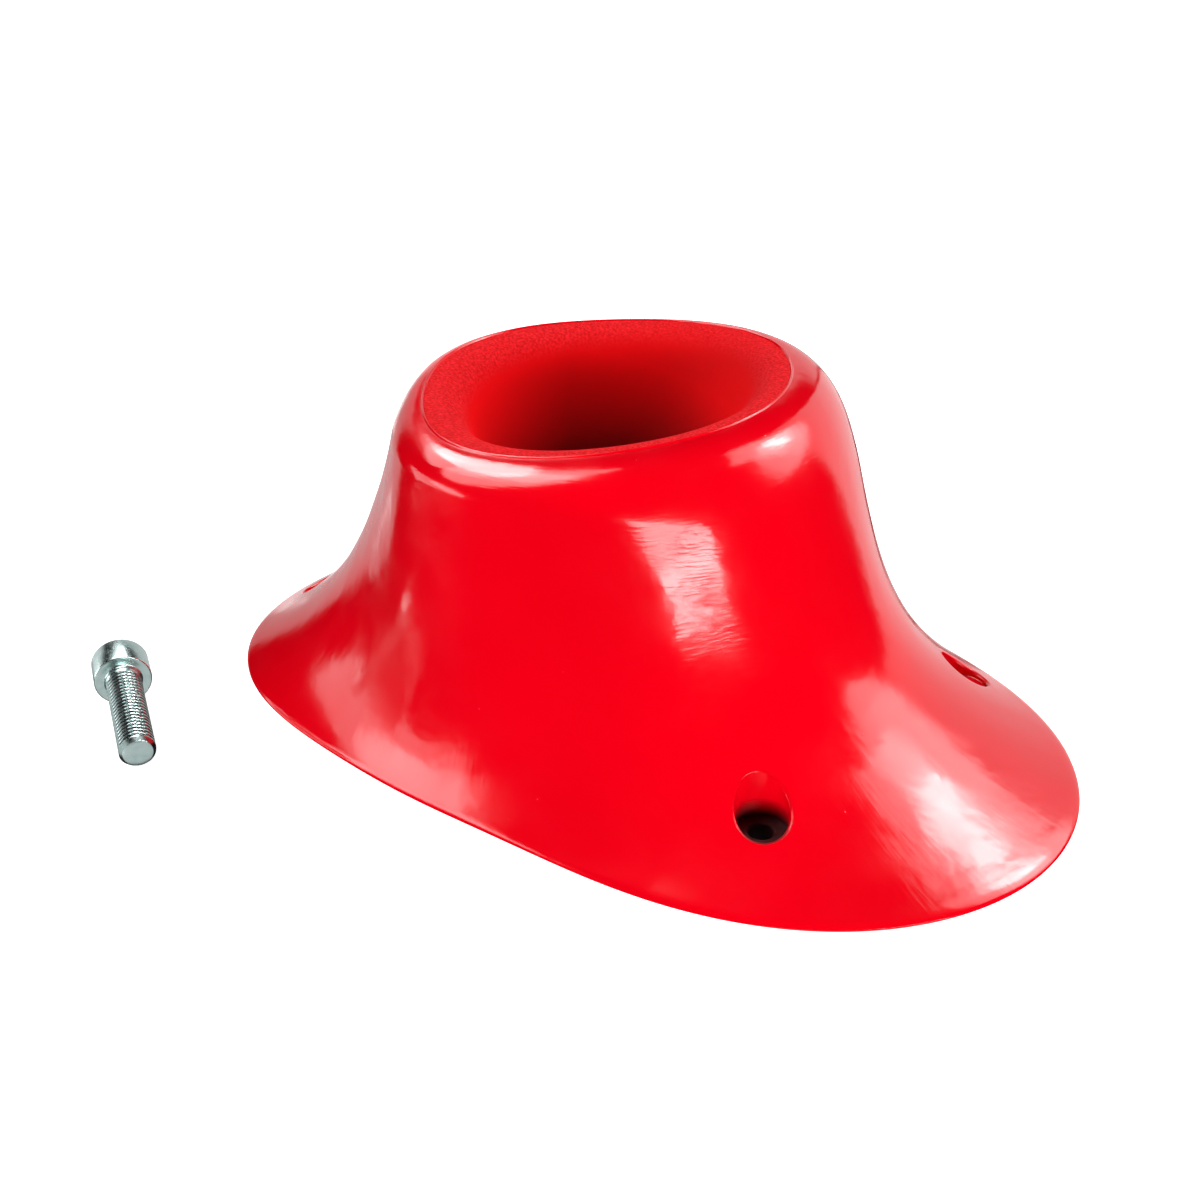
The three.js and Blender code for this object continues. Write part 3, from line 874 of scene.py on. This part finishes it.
def gloss_shell():
    """The red casting: polished outside, raw at the back, with its screw columns joined and holes cut."""
    angle = np.linspace(0, 2 * np.pi, SHELL_AROUND, endpoint=False)
    rings, flare_row, bead_row, wall_row = shell_rings(angle)
    rings[flare_row:bead_row] = hand_finish(rings[flare_row:bead_row], HAND_WAVE)
    faces = grid_faces(len(rings), SHELL_AROUND, True)
    finish = np.repeat(np.where(np.arange(len(rings)) < wall_row, 0, 1), SHELL_AROUND)
    made = piece("gloss_shell", rings, faces, [GLOSS, RAW], finish)
    for number, place in enumerate(screw_places()):
        combine(made, capped(f"column_{number}", column_rings(place, COLUMN_AROUND), [RAW]), "UNION")
    for number, (place, ledge) in enumerate(zip(screw_places(), SCREW_LEDGES)):
        # The front hole's cutter takes the bore material, whose colour holds painted shade low in the hole
        bore = BORE if number == FRONT_SCREW else GLOSS
        rings = screw_cutter_rings(place, ledge, SCREW_AROUND)
        cutter = capped(f"screw_cutter_{number}", rings, [bore])
        combine(made, cutter, "DIFFERENCE")
    smooth(made, CAST_EDGE)
    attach(made, "hold")
    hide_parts("outer_shell")
    return made


def grit_cup():
    """The crater: gritty down to the washer's floor, raw at the back, with its ribs joined."""
    angle = np.linspace(0, 2 * np.pi, CUP_AROUND, endpoint=False)
    rings, floor_row = cup_rings(angle)
    finish = np.repeat(np.where(np.arange(len(rings)) < floor_row, 0, 1), CUP_AROUND)
    faces = grid_faces(len(rings), CUP_AROUND, True)
    made = piece("grit_crater_cup", rings[::-1], faces, [GRIT, RAW], finish[::-1])
    for number in range(RIB_COUNT):
        blade = capped(f"rib_{number}", rib_rings(2 * math.pi * number / RIB_COUNT), [RAW])
        room = capped(f"room_{number}", room_rings(angle, SHELL_WALL + BOND_GAP), [RAW])
        combine(blade, room, "INTERSECT")
        combine(made, blade, "UNION")
    smooth(made, CAST_EDGE)
    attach(made, "hold")
    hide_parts("crater_cup")
    return made


def steel_washer():
    """The washer on the well's floor, every edge of its section an arc."""
    low = WASHER_HEIGHT + BOND_GAP
    high = low + WASHER_THICKNESS
    outer, edge = WASHER_RADIUS - WASHER_EDGE, WASHER_EDGE
    inner, turn = BORE_RADIUS + WASHER_BORE_EDGE, WASHER_BORE_EDGE
    outline = arc((outer, low + edge), edge, -90, 0, 5).tolist()
    outline += arc((outer, high - edge), edge, 0, 90, 5).tolist()
    outline += arc((inner, high - turn), turn, 90, 180, 4).tolist()
    outline += arc((inner, low + turn), turn, 180, 270, 4).tolist()
    rings = lathe(outline, BOLT_AROUND)
    faces = grid_faces(len(rings), BOLT_AROUND, True)
    made = piece("steel_washer", rings, faces, [zinc_steel("turned_zinc_washer", 0.35)])
    smooth(made, STEEL_EDGE)
    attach(made, "hold")
    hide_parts("bolt_washer")
    return made


def zinc_bolt():
    """The cap screw lying on the paper, with its hexagon socket cut. Its thread roots are coloured dark as
    painted shade.
    """
    zinc = zinc_steel("zinc_plated_cap_screw", 0.24)
    # Painted shade: the thread roots take a dark zinc colour
    root_painted_shade = zinc_steel("zinc_thread_root_painted_shade", 0.45, "#2C2423", "#40383A")
    rings = bolt_rings()
    made = capped("zinc_cap_screw", lay_bolt(rings), [zinc, root_painted_shade], thread_roots(rings))
    radius = HEX_KEY / 2 / math.cos(math.pi / 6)
    outline = np.array([[radius, -HEAD_HEIGHT + HEX_DEPTH], [radius, -HEAD_HEIGHT - 1]])
    socket = capped("hex_cutter", lay_bolt(lathe(outline, 6)[::-1]), [zinc])
    combine(made, socket, "DIFFERENCE")
    smooth(made, STEEL_EDGE)
    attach(made, "bolt")
    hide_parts("wall_bolt")
    return made


# Camera, floor and light


def studio_camera():
    """The photo's viewpoint, on a 36 mm wide frame."""
    lens = bpy.data.cameras.new("studio_camera")
    lens.lens = LENS
    lens.sensor_width = 36
    camera = bpy.data.objects.new("studio_camera", lens)
    camera.location = CAMERA_PLACE
    toward = Vector(CAMERA_TARGET) - camera.location
    camera.rotation_euler = toward.to_track_quat("-Z", "Y").to_euler()
    bpy.context.scene.collection.objects.link(camera)
    bpy.context.scene.camera = camera


def softbox(name, bearing, rise, distance, size, radiance, roll=0, shape="RECTANGLE", matt=False, only=None):
    """A flat light at a bearing and a rise from the hold, rolled about that line, all in degrees. Its
    distance, width and height are in metres. It shows in the gloss alone, or with matt set lights matt
    surfaces alone, and can be kept to one piece."""
    lamp = bpy.data.lights.new(name, "AREA")
    lamp.shape = shape
    lamp.size, lamp.size_y = size
    lamp.energy = radiance * math.pi * lamp.size * lamp.size_y
    lamp.cycles.use_multiple_importance_sampling = not matt
    bearing, rise = math.radians(bearing), math.radians(rise)
    away = Vector((math.cos(bearing) * math.cos(rise), math.sin(bearing) * math.cos(rise), math.sin(rise)))
    made = bpy.data.objects.new(name, lamp)
    made.location = Vector(LAMP_TARGET) + away * distance
    facing = (-away).to_track_quat("-Z", "Y").to_matrix() @ Matrix.Rotation(math.radians(roll), 3, "Z")
    made.rotation_euler = facing.to_euler()
    made.visible_camera = False
    made.visible_glossy = not matt
    made.visible_diffuse = matt
    if only is not None:
        made.light_linking.receiver_collection = bpy.data.collections.new(name)
        made.light_linking.receiver_collection.objects.link(only)
    bpy.context.scene.collection.objects.link(made)


def studio_floor():
    """A wide sheet of paper that only the camera sees, so that it throws no light or shade on the hold."""
    half = 4000
    corners = np.array([[-half, -half, 0], [half, -half, 0], [half, half, 0], [-half, half, 0]], float)
    floor = piece("paper_floor", corners, np.array([[0, 1, 2, 3]]), [paper_sweep()])
    floor.visible_glossy = False
    floor.visible_diffuse = False
    floor.visible_shadow = False


studio_camera()
gloss_shell()
grit_cup()
steel_washer()
bolt = zinc_bolt()
studio_floor()

softbox("right_window_low", 53, 28.5, 0.52, (0.34, 0.26), 3.0, 25, "ELLIPSE")
softbox("right_window_high", 53, 41, 0.52, (0.2, 0.22), 3.8, 32)
softbox("right_window_heart", 54.5, 37.5, 0.37, (0.05, 0.1), 12, 11, "ELLIPSE")
softbox("back_window", 185, 63.5, 0.43, (0.24, 0.4), 4.3, -3)
softbox("back_window_heart", 166, 57, 0.52, (0.18, 0.42), 8.5, -31, "ELLIPSE")
softbox("back_window_edge", 239, 62.5, 0.26, (0.26, 0.16), 4.4, -94, "ELLIPSE")
softbox("left_window", 225, -1, 0.59, (0.52, 0.24), 2.3, 8)
softbox("left_window_heart", 236, 2, 0.68, (0.38, 0.18), 3.5, -3, "ELLIPSE")
softbox("front_window", 345.5, 3.4, 1.66, (0.84, 0.14), 20, 3.5)
softbox("backdrop_right", 83, 11.5, 2, (1.16, 3.04), 1.04, 33)
softbox("backdrop_middle", 130.5, 0.5, 2, (1.4, 1.74), 0.72, 25)
softbox("backdrop_left", 155, -13, 2.4, (1.46, 3.5), 0.6, 16)
softbox("paper_behind", 130, -38, 2.5, (3.4, 1.3), 0.75)
softbox("paper_before", 330, -42, 2.5, (3, 2.4), 0.75)
softbox("bolt_side", 186, 0, 2.5, (1.2, 1.6), 0.9, only=bolt)
softbox("bolt_tip_left", 275, -10, 2.5, (2.4, 3), 0.7, only=bolt)
softbox("bolt_tip_top", 345, 42, 2.5, (1.8, 1.8), 0.9, only=bolt)
softbox("front_fill", 315, -3, 2.5, (2.88, 0.98), 7.8, matt=True)
softbox("right_fill", 47.5, 42.5, 2.5, (1, 0.8), 21, matt=True)
softbox("left_fill", 240, 28, 2.5, (1.26, 1.34), 5.6, matt=True)
softbox("back_fill", 180, 45, 2.5, (1.29, 1.34), 2.7, matt=True)

world = bpy.data.worlds.new("studio")
bpy.context.scene.world = world
world.use_nodes = True
background = world.node_tree.nodes["Background"]
background.inputs["Color"].default_value = (1, 1, 1, 1)
background.inputs["Strength"].default_value = 1
world.cycles_visibility.glossy = False
world.cycles_visibility.diffuse = False
bpy.context.scene.view_settings.view_transform = "Standard"
